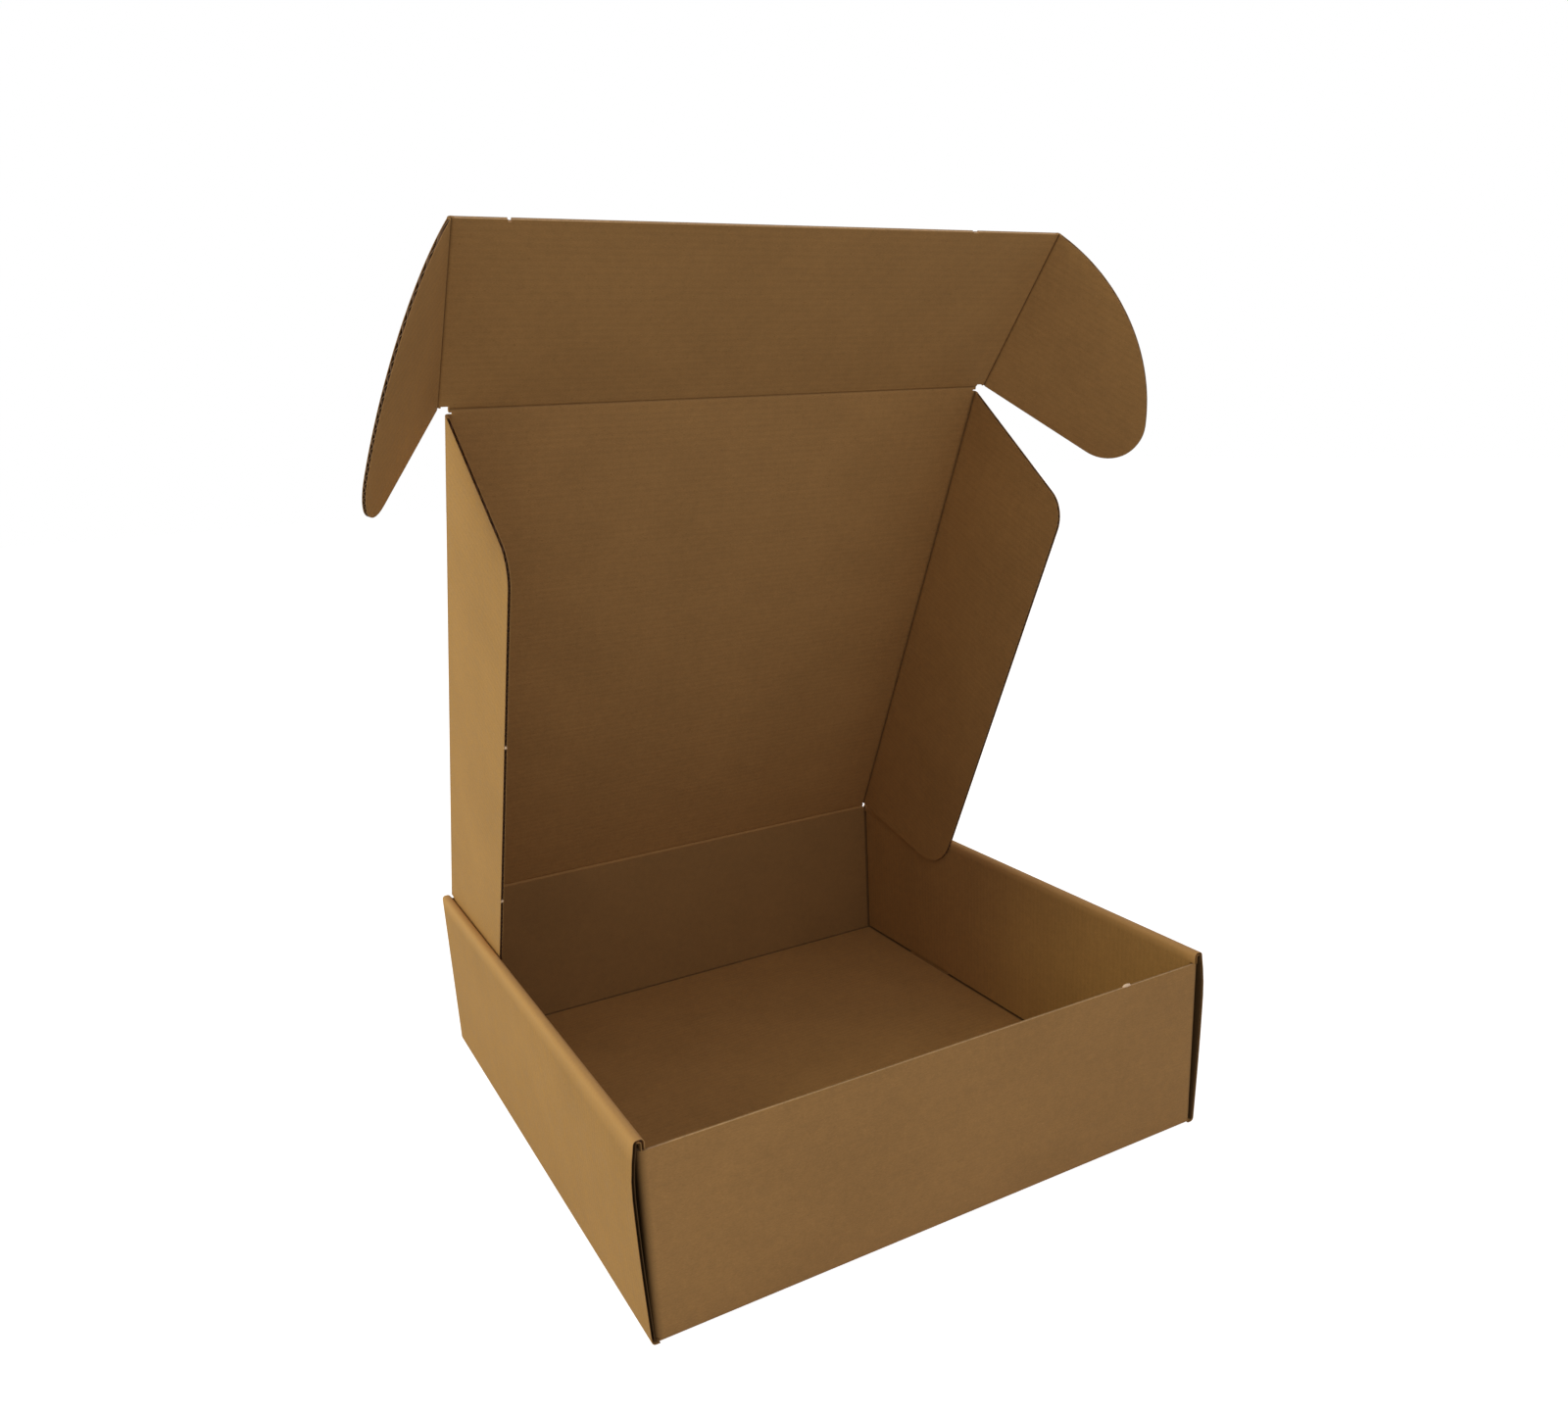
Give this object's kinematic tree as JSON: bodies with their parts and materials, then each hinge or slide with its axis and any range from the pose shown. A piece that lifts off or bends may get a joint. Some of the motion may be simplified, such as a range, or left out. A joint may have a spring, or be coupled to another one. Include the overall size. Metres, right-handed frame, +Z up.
{
  "type": "cardboard mailer box",
  "caption": "Square corrugated mailer box with rolled double side walls and a hinged lid, standing open.",
  "frame": {"origin": "centre of the base's underside", "axes": "+Z up, +Y from the front wall towards the back wall that carries the lid, +X to the right when facing the front wall"},
  "size_m": [0.4196, 0.322, 0.4633],
  "materials": {
    "kraft_board": "matte"
  },
  "bodies": {
    "tray": {"tray": "kraft_board"},
    "lid": {"lid": "kraft_board"},
    "left_dust_flap": {"left_dust_flap": "kraft_board"},
    "right_dust_flap": {"right_dust_flap": "kraft_board"},
    "tuck_flap": {"tuck_flap": "kraft_board"},
    "left_ear": {"left_ear": "kraft_board"},
    "right_ear": {"right_ear": "kraft_board"}
  },
  "joints": [
    {"name": "lid_hinge", "type": "hinge", "parent": "tray", "child": "lid", "pos_m": [0, 0.16015, 0.10015], "axis": [1, 0, 0], "range_deg": [-115.6, 64.4]},
    {"name": "tuck_crease", "type": "hinge", "parent": "lid", "child": "tuck_flap", "pos_m": [0, 0.02089, 0.39081], "axis": [1, 0, 0], "range_deg": [-16, 74]},
    {"name": "left_ear_crease", "type": "hinge", "parent": "tuck_flap", "child": "left_ear", "pos_m": [-0.15815, 0.02089, 0.39081], "axis": [0, 0.6639, -0.7478], "range_deg": [-33, 57]},
    {"name": "right_ear_crease", "type": "hinge", "parent": "tuck_flap", "child": "right_ear", "pos_m": [0.15815, 0.02089, 0.39081], "axis": [0, -0.6639, 0.7478], "range_deg": [-33, 57]},
    {"name": "left_dust_flap_crease", "type": "hinge", "parent": "lid", "child": "left_dust_flap", "pos_m": [-0.15265, 0.15938, 0.09978], "axis": [0, 0.4321, -0.9018], "range_deg": [-85, 0]},
    {"name": "right_dust_flap_crease", "type": "hinge", "parent": "lid", "child": "right_dust_flap", "pos_m": [0.15265, 0.15938, 0.09978], "axis": [0, -0.4321, 0.9018], "range_deg": [-85, 0]}
  ]
}
